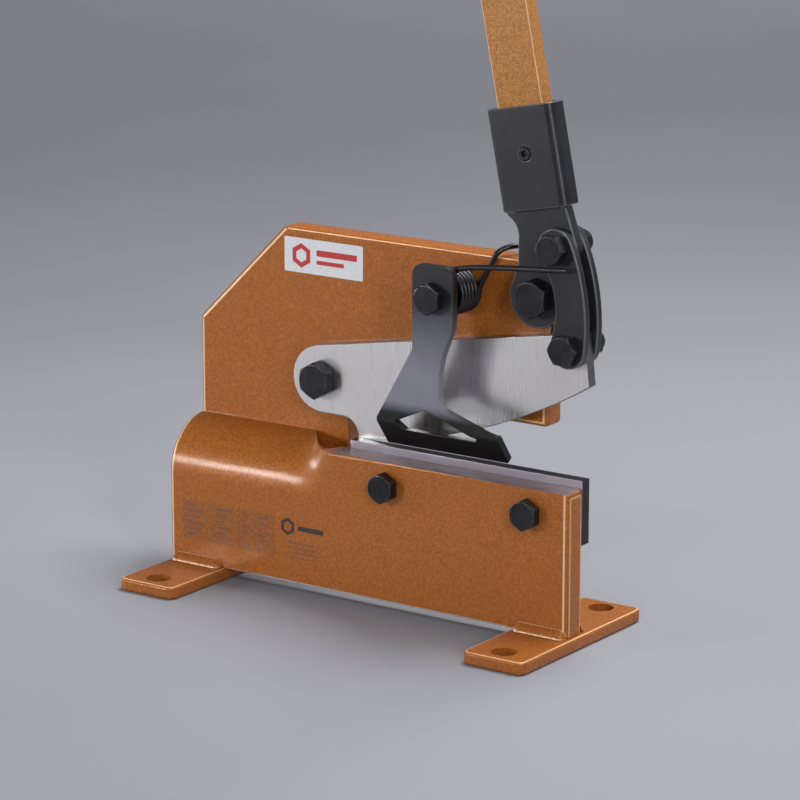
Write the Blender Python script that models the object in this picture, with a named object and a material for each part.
"""Hand-lever bench plate shear: a pressed frame plate on two welded feet, a fixed lower blade,
a pivoted upper blade drawn down by a lever and two links, a hold-down and a return spring.

The script draws in millimetres and scales to metres as it writes each mesh.  X runs along the
blades, +Y is the back of the machine, +Z is up.  The origin is under the middle of the feet.
"""
import math

import bmesh
import bpy
from mathutils import Matrix, Vector

MM = 0.001

# --- driving dimensions, mm ---------------------------------------------------------------
GAP = 0.3                       # clearance between pieces that touch
LENGTH = 229.0                  # across the feet
LEFT = -LENGTH / 2
RIGHT = LENGTH / 2
PLATE_T = 13.0                  # frame plate thickness
PLATE_LEFT = LEFT - 1.0         # its rounded left end stands just proud of the foot
FOOT_T = 6.0
FOOT_W = 33.0
FOOT_FRONT = -51.4              # the feet reach further back than forward
FOOT_BACK = 51.4
FOOT_OVER = 3.0                  # the right foot stands this far past the plate
FOOT_HOLE_R = 6.0
FOOT_HOLE_INSET = 10.5
JAW_FRONT = -9.8                # front face of the lower jaw
JAW_TOP = 73.7
JOG = 25.9                      # the head stands this far behind the jaw
HEAD_FRONT = JAW_FRONT + JOG
BEND_Z = 75.2                   # crease where the bend meets the head
BLADE_T = 6.0
LOWER_Y = JAW_FRONT + PLATE_T + GAP       # front face of the lower blade
UPPER_Y = HEAD_FRONT - GAP - BLADE_T      # front face of the upper blade and of the lever
LINK_T = 4.0
LINK_R = 9.3                    # at the ends
LINK_WAIST = 7.9                # half the width in the middle
LINK_BOW = 4.6                  # how far the links bow out to the right
LOCK_NUT = 9.5                  # height of the lock nuts on the link bolts
HEAD_TOP = 173.2
BLADE_TOP = 77.5                # cutting edge of the lower blade

PIVOT = (-37.9, 102.8)          # (x, z) of the upper blade's pivot
FULCRUM = (83.6, 157.7)         # of the lever
LINK_UPPER = (95.7, 182.1)      # link pin in the lever
LINK_LOWER = (102.8, 136.7)     # link pin in the upper blade
CLAMP = (39.7, 155.4)           # of the hold-down
LEAN = math.radians(11.4)       # the lever leans back at rest
SOCKET_BASE = (83.9, 198.6)     # middle of the socket's lower end
SOCKET_W = 36.0
SOCKET_D = 13.0
SOCKET_LEN = 47.0
SOCKET_WALL = 2.0
HANDLE_REACH = 400.0            # fulcrum to the end of the grip
BAR_W = 25.0
BAR_T = 8.0
GRIP_LEN = 115.0
GRIP_WALL = 2.6
LEVER_MID_Y = UPPER_Y + BLADE_T / 2

CLAMP_FRONT = JAW_FRONT         # front face of the hold-down
CLAMP_T = 4.0
WIRE_R = 1.3
COIL_R = 9.6
COIL_TURNS = 6
M8 = {"shank": 4.0, "flats": 13.0, "head": 5.3, "nut": 6.5}
M10 = {"shank": 5.0, "flats": 16.0, "head": 6.4, "nut": 8.0}

LEVER_TRAVEL = 100.0            # degrees
BLADE_RATIO = 0.165             # blade turn for each degree of the lever
LINK_RATIO = 0.075              # link turn for each degree of the lever, seen from the frame
ROUND = 32                      # sides of a round hole or shank


# --- scene, materials and mesh helpers ------------------------------------------------------
def start_scene():
    """An empty scene with one collection for the shear and one for its cutters."""
    for obj in list(bpy.data.objects):
        bpy.data.objects.remove(obj, do_unlink=True)
    collections = []
    for name in ("plate_shear", "cutters"):
        collection = bpy.data.collections.new(name)
        bpy.context.scene.collection.children.link(collection)
        collections.append(collection)
    return collections


SHEAR, CUTTERS = start_scene()


def make_material(name, colour, roughness, metallic):
    material = bpy.data.materials.new(name)
    material.use_nodes = True
    shader = material.node_tree.nodes["Principled BSDF"]
    shader.inputs["Base Color"].default_value = (*colour, 1.0)
    shader.inputs["Roughness"].default_value = roughness
    shader.inputs["Metallic"].default_value = metallic
    return material


FRAME_PAINT = make_material("frame_paint", (0.43, 0.16, 0.035), 0.4, 0.3)
GROUND_STEEL = make_material("ground_steel", (0.62, 0.61, 0.58), 0.3, 1.0)
BLACK_STEEL = make_material("black_steel", (0.03, 0.03, 0.036), 0.45, 0.6)
BOLT_BLACK = make_material("bolt_black", (0.018, 0.018, 0.022), 0.4, 0.7)
SPRING_STEEL = make_material("spring_steel", (0.05, 0.05, 0.055), 0.3, 0.9)
GRIP_RUBBER = make_material("grip_rubber", (0.02, 0.02, 0.02), 0.75, 0.0)


def add_object(name, mesh, material, collection=SHEAR):
    """Put a mesh, drawn in millimetres, into the scene in metres."""
    mesh.transform(Matrix.Scale(MM, 4))
    mesh.materials.clear()
    mesh.materials.append(material)
    mesh.shade_smooth()
    mesh.set_sharp_from_angle(angle=math.radians(30))
    obj = bpy.data.objects.new(name, mesh)
    collection.objects.link(obj)
    return obj


def set_origin(obj, x, y, z):
    """Move an object's origin to a point, in millimetres, without moving its mesh."""
    point = Vector((x, y, z)) * MM
    for vertex in obj.data.vertices:
        vertex.co -= point
    obj.location = point


def mesh_of(bm, name="work"):
    mesh = bpy.data.meshes.new(name)
    bmesh.ops.recalc_face_normals(bm, faces=bm.faces)
    bm.to_mesh(mesh)
    bm.free()
    return mesh


def combine(base, other, operation):
    """Boolean of two meshes, both used up."""
    first = bpy.data.objects.new("first", base)
    second = bpy.data.objects.new("second", other)
    second.hide_render = True
    second.display_type = "WIRE"
    for obj in (first, second):
        CUTTERS.objects.link(obj)
    modifier = first.modifiers.new("cut", "BOOLEAN")
    modifier.operation = operation
    modifier.solver = "EXACT"
    modifier.object = second
    bpy.context.view_layer.update()
    evaluated = first.evaluated_get(bpy.context.evaluated_depsgraph_get())
    result = bpy.data.meshes.new_from_object(evaluated)
    for obj in (first, second):
        bpy.data.objects.remove(obj, do_unlink=True)
    return result


# --- flat outlines ----------------------------------------------------------------------------
def arc(centre, radius, start, end, steps):
    """Points on an arc, from one angle to another, in degrees."""
    points = []
    for i in range(steps + 1):
        angle = math.radians(start + (end - start) * i / steps)
        points.append((centre[0] + radius * math.cos(angle), centre[1] + radius * math.sin(angle)))
    return points


def circle(centre, radius, sides=ROUND):
    return arc(centre, radius, 0, 360 - 360 / sides, sides - 1)


def plate(outlines, y_front, thickness):
    """A flat plate in the XZ plane: the first outline is its edge and the rest are holes."""
    curve = bpy.data.curves.new("outline", "CURVE")
    curve.dimensions = "2D"
    curve.fill_mode = "BOTH"
    curve.extrude = thickness / 2
    for outline in outlines:
        spline = curve.splines.new("POLY")
        spline.points.add(len(outline) - 1)
        for point, (x, z) in zip(spline.points, outline):
            point.co = (x, z, 0, 1)
        spline.use_cyclic_u = True
    obj = bpy.data.objects.new("outline", curve)
    CUTTERS.objects.link(obj)
    obj.location = (0, y_front + thickness / 2, 0)
    obj.rotation_euler = (math.pi / 2, 0, 0)
    bpy.context.view_layer.update()
    evaluated = obj.evaluated_get(bpy.context.evaluated_depsgraph_get())
    mesh = bpy.data.meshes.new_from_object(evaluated)
    mesh.transform(obj.matrix_world)
    bpy.data.objects.remove(obj, do_unlink=True)
    bm = bmesh.new()
    bm.from_mesh(mesh)
    bmesh.ops.remove_doubles(bm, verts=bm.verts, dist=0.001)
    return mesh_of(bm)


def prism_x(section, x_start, x_end):
    """A (y, z) section drawn out along X."""
    return loft([(x_start, section), (x_end, section)])


def loft(stations):
    """A solid through like (y, z) sections at several X."""
    bm = bmesh.new()
    rings = [[bm.verts.new((x, y, z)) for y, z in section] for x, section in stations]
    for ring, after in zip(rings, rings[1:]):
        for i in range(len(ring)):
            j = (i + 1) % len(ring)
            bm.faces.new((ring[i], ring[j], after[j], after[i]))
    bm.faces.new(rings[0])
    bm.faces.new(rings[-1])
    return mesh_of(bm)


def rod(centre, radius, y_start, y_end, sides=ROUND):
    """A round or many-sided rod along Y; a six-sided one stands on a corner."""
    bm = bmesh.new()
    bmesh.ops.create_cone(bm, cap_ends=True, segments=sides, radius1=radius, radius2=radius,
                          depth=y_end - y_start)
    mesh = mesh_of(bm)
    turn = math.pi / 2
    mesh.transform(Matrix(((1, 0, 0, centre[0]),
                    (0, round(math.cos(turn)), -1, (y_start + y_end) / 2),
                    (0, 1, 0, centre[1]),
                    (0, 0, 0, 1))))
    return mesh


def hexagon(centre, size, y_start, y_end, chamfer_start, chamfer_end):
    """A hexagon head or nut with its corners chamfered at the ends that ask for it."""
    corner = size["flats"] / math.sqrt(3)
    rim = size["flats"] / 2 * 0.97
    slope = corner * 1.02 - rim
    body = rod(centre, corner, y_start, y_end, 6)
    near = y_start + (slope * 0.58 if chamfer_start else 0)
    far = y_end - (slope * 0.58 if chamfer_end else 0)
    profile = [(0, y_start - 1), (rim - 1.6, y_start - 1)] if chamfer_start else [(0, y_start - 1)]
    if chamfer_start:
        profile += [(rim, y_start), (corner * 1.02, near)]
    else:
        profile += [(corner * 1.02, y_start - 1)]
    if chamfer_end:
        profile += [(corner * 1.02, far), (rim, y_end), (rim - 1.6, y_end + 1), (0, y_end + 1)]
    else:
        profile += [(corner * 1.02, y_end + 1), (0, y_end + 1)]
    return combine(body, turned(centre, profile), "INTERSECT")


def turned(centre, profile, sides=ROUND):
    """A solid turned about an axis along Y from (radius, y) points that start and end on it."""
    bm = bmesh.new()
    rings = []
    for radius, y in profile:
        if radius < 1e-6:
            rings.append([bm.verts.new((centre[0], y, centre[1]))])
            continue
        ring = circle(centre, radius, sides)
        rings.append([bm.verts.new((x, y, z)) for x, z in ring])
    for ring, after in zip(rings, rings[1:]):
        for i in range(sides):
            j = (i + 1) % sides
            corners = [ring[i % len(ring)], ring[j % len(ring)],
                       after[j % len(after)], after[i % len(after)]]
            bm.faces.new(list(dict.fromkeys(corners)))
    return mesh_of(bm)


def hex_bolt(centre, size, seat_y, tip_y, flat_down=False):
    """A bolt whose head stands in front of seat_y and whose shank runs back to tip_y."""
    head = hexagon((0, 0), size, seat_y - size["head"], seat_y, True, False)
    turn = Matrix.Rotation(math.pi / 6 if flat_down else 0, 4, "Y")
    head.transform(Matrix.Translation((centre[0], 0, centre[1])) @ turn)
    tip = 1.0
    shank = turned(centre, [(0, seat_y - 1), (size["shank"], seat_y - 1),
                            (size["shank"], tip_y - tip), (size["shank"] - tip, tip_y), (0, tip_y)])
    return combine(head, shank, "UNION")


def hex_nut(centre, size, seat_y):
    """A nut behind seat_y, bored to clear its bolt."""
    nut = hexagon(centre, size, seat_y, seat_y + size["nut"], False, True)
    bore = rod(centre, size["shank"] + GAP, seat_y - 1, seat_y + size["nut"] + 1)
    return combine(nut, bore, "DIFFERENCE")


def lock_nut(centre, seat_y):
    """A nut with a round locking collar behind its hexagon."""
    collar_r = M8["flats"] / 2 - 1.0
    nut = hexagon(centre, M8, seat_y, seat_y + M8["nut"], False, True)
    collar = rod(centre, collar_r, seat_y + 1, seat_y + LOCK_NUT)
    nut = combine(nut, collar, "UNION")
    return combine(nut, rod(centre, M8["shank"] + GAP, seat_y - 1, seat_y + LOCK_NUT + 1), "DIFFERENCE")


def wire(points, radius):
    """A round wire through a list of points."""
    curve = bpy.data.curves.new("wire", "CURVE")
    curve.dimensions = "3D"
    curve.bevel_depth = radius
    curve.bevel_resolution = 2
    curve.use_fill_caps = True
    spline = curve.splines.new("POLY")
    spline.points.add(len(points) - 1)
    for point, place in zip(spline.points, points):
        point.co = (*place, 1)
    obj = bpy.data.objects.new("wire", curve)
    CUTTERS.objects.link(obj)
    bpy.context.view_layer.update()
    evaluated = obj.evaluated_get(bpy.context.evaluated_depsgraph_get())
    mesh = bpy.data.meshes.new_from_object(evaluated)
    bpy.data.objects.remove(obj, do_unlink=True)
    bm = bmesh.new()
    bm.from_mesh(mesh)
    bmesh.ops.remove_doubles(bm, verts=bm.verts, dist=0.001)
    return mesh_of(bm)


# --- frame ------------------------------------------------------------------------------------
BEND_Z0 = BEND_Z - JOG          # where the bend leaves the jaw's front face
BEND_FULL = LEFT + 66.0         # the bend keeps its full depth up to here
BEND_GONE = LEFT + 96.0         # and has died away into the flat jaw here
SLOT_END = LEFT + 88.0           # left end of the throat slot
BACK_R = 8.0                    # rounding under the head at the back
BASE_Z = FOOT_T + GAP
BEND_STEPS = 16
BEND_TUCK = 0.6                 # how far the bend runs on into the head


def bend_section(fade):
    """The jaw's (y, z) section where the bend has faded by 0 to 1: its radius grows as it unrolls."""
    sweep = math.pi / 2 * (1 - fade)
    height = JOG + (JAW_TOP - BEND_Z0 - JOG) * fade
    front = [(JAW_FRONT, BASE_Z)]
    back = [(JAW_FRONT + PLATE_T, BASE_Z)]
    for i in range(BEND_STEPS + 1):
        angle = sweep * i / BEND_STEPS
        rise = math.sin(angle) / math.sin(sweep) if sweep else i / BEND_STEPS
        run = (1 - math.cos(angle)) / math.sin(sweep) if sweep else 0.0
        y = JAW_FRONT + height * run
        z = BEND_Z0 + height * rise
        front.append((y, z))
        back.append((y + PLATE_T * math.cos(angle), z - PLATE_T * math.sin(angle)))
    tuck = BEND_TUCK * (1 - fade)
    for side in (front, back):
        y, z = side[-1]
        side.append((y + tuck * math.sin(sweep), z + tuck * math.cos(sweep)))
    return front + back[::-1]


def jaw_stations():
    """Sections from the full bend to the flat jaw; the end of the bend eases in and out."""
    stations = [(BEND_FULL - 3, bend_section(0))]
    steps = 22
    for i in range(steps + 1):
        t = i / steps
        fade = t * t * (3 - 2 * t)
        stations.append((BEND_FULL + (BEND_GONE - BEND_FULL) * t, bend_section(fade)))
    stations.append((RIGHT, bend_section(1)))
    return stations


def full_bend():
    """The left stretch of the plate, from the foot up to the head, as one section along X."""
    back_y = HEAD_FRONT + PLATE_T
    inner_z = BEND_Z - PLATE_T
    section = [(JAW_FRONT, BASE_Z)]
    section += arc((HEAD_FRONT, BEND_Z0), JOG, 180, 90, BEND_STEPS)
    section += [(HEAD_FRONT, BEND_Z + 6), (back_y, BEND_Z + 6)]
    section += arc((back_y - BACK_R, inner_z + BACK_R), BACK_R, 0, -90, 6)
    section += arc((HEAD_FRONT, BEND_Z0), JOG - PLATE_T, 90, 180, BEND_STEPS)
    section += [(JAW_FRONT + PLATE_T, BASE_Z)]
    return prism_x(section, PLATE_LEFT, BEND_FULL)


def throat_web():
    """The plate behind the dying bend, down to the bend's inner face, that closes the slot's end."""
    inner_z = BEND_Z - PLATE_T
    back_y = HEAD_FRONT + PLATE_T
    section = [(HEAD_FRONT, BEND_Z + 6), (back_y, BEND_Z + 6)]
    section += arc((back_y - BACK_R, inner_z + BACK_R), BACK_R, 0, -90, 6)
    section += [(HEAD_FRONT, inner_z)]
    return prism_x(section, BEND_FULL - 2, SLOT_END)


def head_slab():
    """The upright head, with the throat slot under it and an ear around the fulcrum."""
    slot_top = 95.4
    outline = [(PLATE_LEFT, BEND_Z), (PLATE_LEFT, 122.8), (LEFT + 50.6, HEAD_TOP)]
    outline += [(FULCRUM[0] - 6, HEAD_TOP)]
    outline += arc(FULCRUM, 8.8, 62, -25, 8)
    outline += [(LEFT + 200.7, 128.0), (LEFT + 200.7, slot_top)]
    outline += arc((SLOT_END + 8, slot_top - 8), 8, 90, 180, 6)
    outline += [(SLOT_END, BEND_Z + 1), (SLOT_END - 1, BEND_Z)]
    return plate([outline], HEAD_FRONT, PLATE_T)


LOWER_BOLTS = ((LEFT + 128.2, 62.0), (LEFT + 207.3, 62.0))


def build_frame():
    body = combine(loft(jaw_stations()), full_bend(), "UNION")
    body = combine(body, head_slab(), "UNION")
    body = combine(body, throat_web(), "UNION")
    for centre in LOWER_BOLTS:
        body = combine(body, rod(centre, M8["shank"] + GAP, JAW_FRONT - 1, JAW_FRONT + PLATE_T + 1),
                       "DIFFERENCE")
    for centre, size in ((PIVOT, M10), (FULCRUM, M10), (CLAMP, M8)):
        body = combine(body, rod(centre, size["shank"] + GAP, HEAD_FRONT - 1, HEAD_FRONT + PLATE_T + 1),
                       "DIFFERENCE")
    add_object("frame_plate", body, FRAME_PAINT)


def build_foot(name, x_start):
    """A flat bar across the plate, with rounded corners and a bolt hole near each end."""
    corner = 4.0
    x_end = x_start + FOOT_W
    outline = []
    for x, y, start in ((x_end - corner, FOOT_BACK - corner, 0), (x_start + corner, FOOT_BACK - corner, 90),
                        (x_start + corner, FOOT_FRONT + corner, 180),
                        (x_end - corner, FOOT_FRONT + corner, 270)):
        outline += arc((x, y), corner, start, start + 90, 5)
    middle = (x_start + x_end) / 2
    holes = [circle((middle, FOOT_FRONT + FOOT_HOLE_INSET), FOOT_HOLE_R),
             circle((middle, FOOT_BACK - FOOT_HOLE_INSET), FOOT_HOLE_R)]
    mesh = plate([outline] + holes, 0, FOOT_T)
    # the outline was drawn upright; lay it down on the ground
    mesh.transform(Matrix(((1, 0, 0, 0), (0, 0, 1, 0), (0, -1, 0, FOOT_T), (0, 0, 0, 1))))
    add_object(name, mesh, FRAME_PAINT)


def build_welds():
    """Fillet welds along the foot of the plate, front and back, on each foot."""
    leg = 4.0
    for side, x, length in (("left", LEFT + 2.0, FOOT_W - 4.0),
                            ("right", RIGHT + FOOT_OVER - FOOT_W + 2.0, FOOT_W - FOOT_OVER - 2.0)):
        for face, y, sign in (("front", JAW_FRONT - GAP, -1), ("back", JAW_FRONT + PLATE_T + GAP, 1)):
            section = [(y, FOOT_T + GAP)]
            for turn in range(5):
                angle = math.radians(22.5 * turn)
                section.append((y + sign * leg * math.cos(angle), FOOT_T + GAP + leg * math.sin(angle)))
            add_object(f"weld_{side}_{face}", prism_x(section, x, x + length), FRAME_PAINT)


# --- blades -----------------------------------------------------------------------------------
def arc_through(a, b, c, steps):
    """Points on the circle through three points, from the first to the last."""
    ax, az = a
    bx, bz = b
    cx, cz = c
    d = 2 * (ax * (bz - cz) + bx * (cz - az) + cx * (az - bz))
    sa = ax * ax + az * az
    sb = bx * bx + bz * bz
    sc = cx * cx + cz * cz
    ux = (sa * (bz - cz) + sb * (cz - az) + sc * (az - bz)) / d
    uz = (sa * (cx - bx) + sb * (ax - cx) + sc * (bx - ax)) / d
    radius = math.hypot(ax - ux, az - uz)
    start = math.degrees(math.atan2(az - uz, ax - ux))
    end = math.degrees(math.atan2(cz - uz, cx - ux))
    if end - start > 180:
        end -= 360
    if start - end > 180:
        end += 360
    return arc((ux, uz), radius, start, end, steps)


def build_lower_blade():
    left = LEFT + 98.4
    right = RIGHT - 0.9
    bottom = 47.0
    outline = [(left, bottom), (right, bottom), (right, BLADE_TOP), (left, BLADE_TOP)]
    holes = [circle(centre, M8["shank"] + GAP) for centre in LOWER_BOLTS]
    add_object("lower_blade", plate([outline] + holes, LOWER_Y, BLADE_T), GROUND_STEEL)
    for side, centre in zip(("left", "right"), LOWER_BOLTS):
        bolt = hex_bolt(centre, M8, JAW_FRONT - GAP, LOWER_Y + BLADE_T)
        add_object("lower_blade_bolt_" + side, bolt, BOLT_BLACK)


def build_upper_blade():
    px, pz = PIVOT
    boss = 16.3
    top_slope = 9.9
    notch = (px + 13.2, pz - boss)
    heel = (px + 22.0, pz - 25.9)
    toe = (px + 150.3, pz + 16.8)
    belly = arc_through(heel, (px + 96.4, pz - 9.3), toe, 22)
    outline = arc(PIVOT, boss, 90 + top_slope, 270, 14)
    outline += arc((notch[0], notch[1] - 8.8), 8.8, 90, 0, 6)
    outline += belly
    outline += [(px + 147.6, pz + 41.4)]
    holes = [circle(PIVOT, M10["shank"] + GAP), circle(LINK_LOWER, M8["shank"] + GAP)]
    blade = add_object("upper_blade", plate([outline] + holes, UPPER_Y, BLADE_T), GROUND_STEEL)
    set_origin(blade, px, LEVER_MID_Y, pz)
    bolt = hex_bolt(PIVOT, M10, UPPER_Y - GAP, HEAD_FRONT + PLATE_T + M10["nut"] + 2.5)
    add_object("blade_pivot_bolt", bolt, BOLT_BLACK)
    add_object("blade_pivot_nut", hex_nut(PIVOT, M10, HEAD_FRONT + PLATE_T + GAP), BOLT_BLACK)


# --- lever ------------------------------------------------------------------------------------
def along_lever(base, along, across):
    """A point measured from a base along the leaning lever and across it to the right."""
    return (base[0] - along * math.sin(LEAN) + across * math.cos(LEAN),
            base[1] + along * math.cos(LEAN) + across * math.sin(LEAN))


def lean_box(base, start, end, half_width, corner=0.0):
    """Outline of a leaning bar from start to end along the lever, with rounded corners."""
    corners = ((start, -half_width), (start, half_width), (end, half_width), (end, -half_width))
    if corner == 0:
        return [along_lever(base, *place) for place in corners]
    outline = []
    for i, (along, across) in enumerate(corners):
        sign_along = 1 if along == start else -1
        sign_across = 1 if across < 0 else -1
        for step in range(5):
            angle = math.radians((180, 270, 0, 90)[i] + 22.5 * step)
            outline.append(along_lever(base, along + corner * (sign_along + math.sin(angle)),
                                       across + corner * (sign_across + math.cos(angle))))
    return outline


def turned_about(centre, point, degrees):
    """A point (x, z) turned clockwise, as seen from the front, about a centre."""
    angle = math.radians(degrees)
    dx = point[0] - centre[0]
    dz = point[1] - centre[1]
    return (centre[0] + dx * math.cos(angle) + dz * math.sin(angle),
            centre[1] - dx * math.sin(angle) + dz * math.cos(angle))


def link_slot():
    """Play in the lever around the upper link bolt, where the linkage is opened.

    The blade, link and lever turn in fixed ratios, so the bolt wanders a little in the lever.
    The slot is the convex outline of the bolt's hole over that whole path.
    """
    points = []
    steps = 10
    for i in range(steps + 1):
        turn = LEVER_TRAVEL * i / steps
        lower = turned_about(PIVOT, LINK_LOWER, BLADE_RATIO * turn)
        rise = (lower[0] + LINK_UPPER[0] - LINK_LOWER[0], lower[1] + LINK_UPPER[1] - LINK_LOWER[1])
        upper = turned_about(lower, rise, LINK_RATIO * turn)
        points += circle(turned_about(FULCRUM, upper, -turn), M8["shank"] + GAP)
    return convex_outline(points)


def convex_outline(points):
    """The convex hull of some points, going round anticlockwise."""
    ordered = sorted(points)
    hull = []
    for run in (ordered, ordered[::-1]):
        start = len(hull)
        for point in run:
            while len(hull) - start >= 2 and turn_of(hull[-2], hull[-1], point) <= 1e-9:
                hull.pop()
            hull.append(point)
        hull.pop()
    return hull


def turn_of(a, b, c):
    return (b[0] - a[0]) * (c[1] - a[1]) - (b[1] - a[1]) * (c[0] - a[0])


def build_lever_plate():
    fx, fz = FULCRUM
    shoulder_l = along_lever(SOCKET_BASE, -GAP, -SOCKET_W / 2)
    tang = lean_box(SOCKET_BASE, -GAP, 20.0, 13.0)
    neck_l = LEFT + 188.0
    outline = [shoulder_l]
    outline += arc_through((shoulder_l[0] + 2.0, shoulder_l[1] - 1.6), (neck_l - 1.6, 190.0),
                           (neck_l, 183.0), 5)
    outline += [(neck_l, 172.0)]
    outline += arc(FULCRUM, 14.5, 155, 355, 20)
    outline += [(fx + 16.5, fz + 6.0)]
    outline += arc(LINK_UPPER, 9.2, -20, 12, 4)
    outline += [along_lever(SOCKET_BASE, -GAP, SOCKET_W / 2 - 3.0), tang[1], tang[2], tang[3], tang[0]]
    holes = [circle(FULCRUM, M10["shank"] + GAP), link_slot()]
    lever = add_object("lever_plate", plate([outline] + holes, UPPER_Y, BLADE_T), BLACK_STEEL)
    set_origin(lever, fx, LEVER_MID_Y, fz)
    bolt = hex_bolt(FULCRUM, M10, UPPER_Y - GAP, HEAD_FRONT + PLATE_T + M10["nut"] + 2.5)
    add_object("fulcrum_bolt", bolt, BOLT_BLACK)
    add_object("fulcrum_nut", hex_nut(FULCRUM, M10, HEAD_FRONT + PLATE_T + GAP), BOLT_BLACK)


def stand_on_lever(mesh, base):
    """Turn a mesh drawn about the Z axis so that it leans with the lever on a base point."""
    c = math.cos(LEAN)
    s = math.sin(LEAN)
    mesh.transform(Matrix(((c, 0, -s, base[0]),
                    (0, 1, 0, LEVER_MID_Y),
                    (s, 0, c, base[1]),
                    (0, 0, 0, 1))))
    return mesh


def rounded_tube(width, depth, wall, length, corner, inner_corner):
    """A flattened tube standing on Z = 0, open at both ends."""
    def ring(half_w, half_d, radius):
        points = []
        for x, y, start in ((half_w, half_d, 0), (-half_w, half_d, 90), (-half_w, -half_d, 180),
                            (half_w, -half_d, 270)):
            centre = (x - math.copysign(radius, x), y - math.copysign(radius, y))
            points += arc(centre, radius, start, start + 90, 5)
        return points
    outer = ring(width / 2, depth / 2, corner)
    inner = ring(width / 2 - wall, depth / 2 - wall, inner_corner)
    mesh = plate([outer, inner], -length, length)
    mesh.transform(Matrix(((1, 0, 0, 0), (0, 0, 1, 0), (0, -1, 0, 0), (0, 0, 0, 1))))
    return mesh


def build_handle():
    tube = rounded_tube(SOCKET_W, SOCKET_D, SOCKET_WALL, SOCKET_LEN, 4.0, 2.2)
    tube = stand_on_lever(tube, SOCKET_BASE)
    screw_at = along_lever(SOCKET_BASE, 25.5, 0)
    face_y = LEVER_MID_Y - SOCKET_D / 2
    hole = rod(screw_at, 3.3, face_y - 1, face_y + SOCKET_WALL + 1, 24)
    add_object("lever_socket", combine(tube, hole, "DIFFERENCE"), BLACK_STEEL)
    screw_tip = face_y + SOCKET_WALL + 0.2
    screw = turned(screw_at, [(0, face_y - 0.6), (2.6, face_y - 0.6), (3.0, face_y - 0.2), (3.0, screw_tip),
                              (0, screw_tip)], 24)
    key = rod(screw_at, 1.6, face_y - 2, face_y + 0.8, 6)
    add_object("socket_set_screw", combine(screw, key, "DIFFERENCE"), BOLT_BLACK)
    from_base = (FULCRUM[0] - SOCKET_BASE[0], FULCRUM[1] - SOCKET_BASE[1])
    fulcrum_run = from_base[1] * math.cos(LEAN) - from_base[0] * math.sin(LEAN)
    end = HANDLE_REACH + fulcrum_run
    bar = plate([lean_box(SOCKET_BASE, 21.0, end - 2 * GRIP_WALL, BAR_W / 2, 1.5)],
                LEVER_MID_Y - BAR_T / 2, BAR_T)
    add_object("handle_bar", bar, FRAME_PAINT)
    build_grip(end)


def build_grip(end):
    """A moulded grip pushed over the end of the bar, closed at the top."""
    base = along_lever(SOCKET_BASE, end - GRIP_LEN, 0)
    half_w = BAR_W / 2 + GAP
    half_d = BAR_T / 2 + GAP
    rows = [(0.0, 3.6), (3.0, 4.4), (7.0, 4.4), (10.0, GRIP_WALL), (GRIP_LEN - 8.0, GRIP_WALL + 0.4),
            (GRIP_LEN - 2.0, GRIP_WALL - 0.4), (GRIP_LEN, 0.6)]
    bm = bmesh.new()
    rings = []
    for z, wall in rows:
        ring = []
        for x, y, start in ((1, 1, 0), (-1, 1, 90), (-1, -1, 180), (1, -1, 270)):
            radius = 3.6
            centre = (x * (half_w + wall - radius), y * (half_d + wall - radius))
            ring += arc(centre, radius, start, start + 90, 5)
        rings.append([bm.verts.new((px, py, z)) for px, py in ring])
    for ring, after in zip(rings, rings[1:]):
        for i in range(len(ring)):
            j = (i + 1) % len(ring)
            bm.faces.new((ring[i], ring[j], after[j], after[i]))
    bm.faces.new(rings[0])
    bm.faces.new(rings[-1])
    grip = mesh_of(bm)
    depth = GRIP_LEN - 2 * GRIP_WALL + GAP
    bore = bmesh.new()
    bmesh.ops.create_cube(bore, size=1.0)
    pocket = mesh_of(bore)
    pocket.transform(Matrix(((2 * half_w, 0, 0, 0),
                      (0, 2 * half_d, 0, 0),
                      (0, 0, depth + 2, depth / 2 - 1),
                      (0, 0, 0, 1))))
    grip = combine(grip, pocket, "DIFFERENCE")
    add_object("handle_grip", stand_on_lever(grip, base), GRIP_RUBBER)


# --- links ------------------------------------------------------------------------------------
def link_outline():
    """A bowed link: both edges follow the arc through its pins, and its ends are round."""
    ux, uz = LINK_UPPER
    lx, lz = LINK_LOWER
    run = math.hypot(lx - ux, lz - uz)
    side = ((uz - lz) / run, -(ux - lx) / run)
    middle = ((ux + lx) / 2 + side[0] * LINK_BOW, (uz + lz) / 2 + side[1] * LINK_BOW)
    spine = arc_through(LINK_UPPER, middle, LINK_LOWER, 12)
    outer = []
    inner = []
    for i, (x, z) in enumerate(spine):
        before = spine[max(i - 1, 0)]
        after = spine[min(i + 1, len(spine) - 1)]
        dx = after[0] - before[0]
        dz = after[1] - before[1]
        size = math.hypot(dx, dz)
        waist = math.sin(math.pi * i / (len(spine) - 1))
        half = LINK_R + (LINK_WAIST - LINK_R) * waist
        outer.append((x - dz / size * half, z + dx / size * half))
        inner.append((x + dz / size * half, z - dx / size * half))

    def cap(centre, start, end):
        a = math.degrees(math.atan2(start[1] - centre[1], start[0] - centre[0]))
        return arc(centre, LINK_R, a, a + 180, 12)[1:-1]
    # the spine runs downwards, so its right-hand edge is "outer" and both caps turn anticlockwise
    return outer[::-1] + cap(LINK_UPPER, outer[0], inner[0]) + inner + cap(LINK_LOWER, inner[-1], outer[-1])


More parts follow.
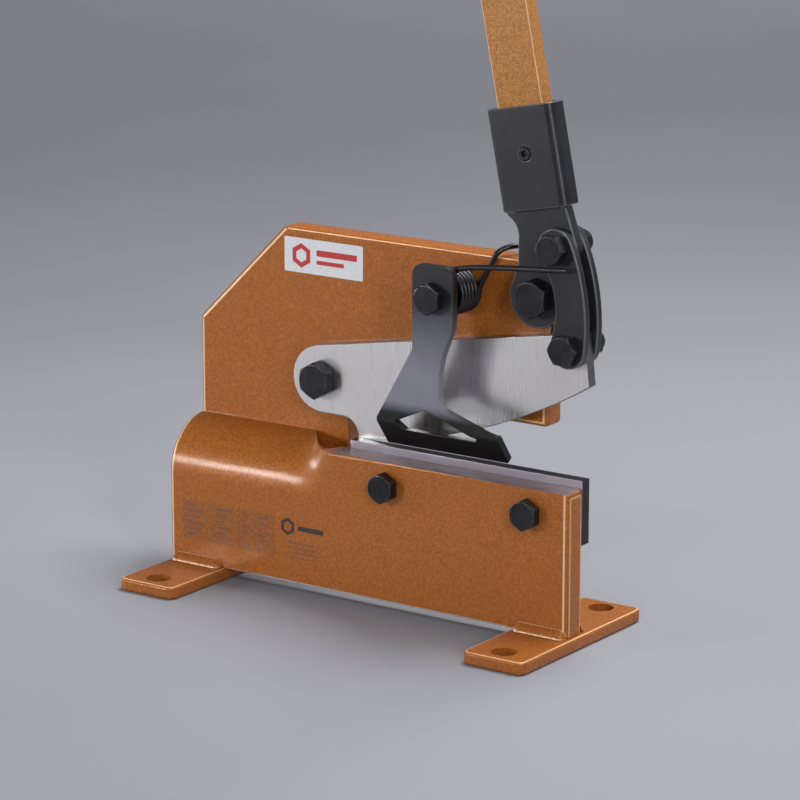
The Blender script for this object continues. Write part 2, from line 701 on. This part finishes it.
def build_links():
    link_front_y = UPPER_Y - GAP - LINK_T
    link_rear_y = UPPER_Y + BLADE_T + GAP
    pins = (LINK_UPPER, LINK_LOWER)
    for name, y in (("link_front", link_front_y), ("link_rear", link_rear_y)):
        holes = [circle(centre, M8["shank"] + GAP) for centre in pins]
        link = add_object(name, plate([link_outline()] + holes, y, LINK_T), BLACK_STEEL)
        set_origin(link, LINK_LOWER[0], y + LINK_T / 2, LINK_LOWER[1])
    rear_face = link_rear_y + LINK_T
    for side, centre in zip(("upper", "lower"), pins):
        bolt = hex_bolt(centre, M8, link_front_y - GAP, rear_face + LOCK_NUT + 1.2, flat_down=True)
        add_object("link_bolt_" + side, bolt, BOLT_BLACK)
        add_object("link_nut_" + side, lock_nut(centre, rear_face + GAP), BOLT_BLACK)


# --- hold-down and return spring --------------------------------------------------------------
def build_hold_down():
    """A strap that hangs from its bolt and ends in an open foot bent back over the blades."""
    cx, cz = CLAMP
    fold = 93.2
    left = LEFT + 122.9
    right = LEFT + 190.5
    top = cz + 15.2
    side_l = LEFT + 142.9
    side_r = LEFT + 165.9
    outline = arc((side_r - 5.5, top - 5.5), 5.5, 0, 90, 5)
    outline += arc((side_l + 5.5, top - 5.5), 5.5, 90, 180, 5)
    outline += [(side_l, 130.0), (left, fold + 2.0), (left, fold), (right, fold), (right, fold + 0.8)]
    outline += arc_through((LEFT + 163.0, 102.9), (LEFT + 159.9, 105.0), (LEFT + 158.6, 109.0), 4)
    outline += arc_through((LEFT + 158.2, 115.0), (LEFT + 160.1, 128.0), (LEFT + 163.9, 137.0), 6)
    outline += [(LEFT + 165.2, 141.0), (side_r, 146.5)]
    strap = plate([outline, circle(CLAMP, M8["shank"] + GAP)], CLAMP_FRONT, CLAMP_T)
    lip_back = 9.4
    lip_down = 12.6
    section = [(CLAMP_FRONT, fold + 2.0), (CLAMP_FRONT, fold),
               (CLAMP_FRONT + lip_back, fold - lip_down),
               (CLAMP_FRONT + lip_back + 3.2, fold - lip_down + 2.4),
               (CLAMP_FRONT + CLAMP_T, fold + 1.5), (CLAMP_FRONT + CLAMP_T, fold + 2.0)]
    strap = combine(strap, prism_x(section, left, right), "UNION")
    window = [(LEFT + 133.5, 94.5), (LEFT + 136.5, 90.4), (LEFT + 176.5, 90.4), (LEFT + 178.0, 92.0),
              (LEFT + 152.2, 101.2), (LEFT + 150.0, 101.9)]
    strap = combine(strap, plate([window], CLAMP_FRONT - 1, PLATE_T + 2), "DIFFERENCE")
    obj = add_object("hold_down", strap, BLACK_STEEL)
    set_origin(obj, cx, CLAMP_FRONT + CLAMP_T / 2, cz)
    bolt = hex_bolt(CLAMP, M8, CLAMP_FRONT - GAP, HEAD_FRONT + PLATE_T + M8["nut"] + 2.5)
    add_object("hold_down_bolt", bolt, BOLT_BLACK)
    add_object("hold_down_nut", hex_nut(CLAMP, M8, HEAD_FRONT + PLATE_T + GAP), BOLT_BLACK)
    tube = rod(CLAMP, 6.6, CLAMP_FRONT + CLAMP_T + GAP, HEAD_FRONT - GAP)
    bore = rod(CLAMP, M8["shank"] + GAP, CLAMP_FRONT, HEAD_FRONT + 1)
    add_object("hold_down_spacer", combine(tube, bore, "DIFFERENCE"), BLACK_STEEL)


def build_spring():
    """A torsion spring around the spacer; its front leg lifts the lever and is its own node."""
    cx, cz = CLAMP
    coil_front = CLAMP_FRONT + CLAMP_T + GAP + WIRE_R + 0.4
    leg_y = coil_front
    coil_front += 2 * WIRE_R + 0.3
    coil_back = HEAD_FRONT - GAP - WIRE_R
    steps = 16
    points = []
    count = (COIL_TURNS * 4 - 1) * steps // 4
    for i in range(count + 1):
        angle = math.radians(90) + 2 * math.pi * i / steps
        y = coil_front + (coil_back - coil_front) * i / count
        points.append((cx + COIL_R * math.cos(angle), y, cz + COIL_R * math.sin(angle)))
    top = HEAD_TOP + WIRE_R + 0.6
    side = cx + COIL_R
    points += [(side + 0.5, coil_back, cz + 2.6), (side + 3.3, coil_back, cz + 8.0),
               (side + 7.7, coil_back, top - 4.0), (side + 10.0, coil_back, top - 0.6),
               (side + 12.4, HEAD_FRONT + 1.0, top + 1.5), (side + 15.6, HEAD_FRONT + 4.6, top + 2.4),
               (side + 18.4, HEAD_FRONT + 9.2, top + 2.0), (side + 20.2, HEAD_FRONT + 13.0, top + 0.6),
               (side + 20.9, HEAD_FRONT + PLATE_T + 2.4, top - 1.6)]
    add_object("return_spring", wire(points, WIRE_R), SPRING_STEEL)
    leg = [(cx - 3.0 * i, leg_y, cz + math.sqrt(COIL_R ** 2 - 9.0 * i * i)) for i in (2, 1, 0)]
    leg += [(cx + 6.5, leg_y, cz + COIL_R + 1.9), (cx + 13.5, leg_y, cz + COIL_R + 4.9),
            (cx + 30.0, leg_y + 1.0, cz + COIL_R + 6.9), (cx + 56.0, leg_y + 1.6, cz + COIL_R + 9.0),
            (cx + 68.0, leg_y + 1.6, cz + COIL_R + 10.0)]
    obj = add_object("spring_front_leg", wire(leg, WIRE_R), SPRING_STEEL)
    set_origin(obj, cx, leg_y, cz)


build_frame()
build_foot("foot_left", LEFT)
build_foot("foot_right", RIGHT + FOOT_OVER - FOOT_W)
build_welds()
build_lower_blade()
build_upper_blade()
build_lever_plate()
build_handle()
build_links()
build_hold_down()
build_spring()
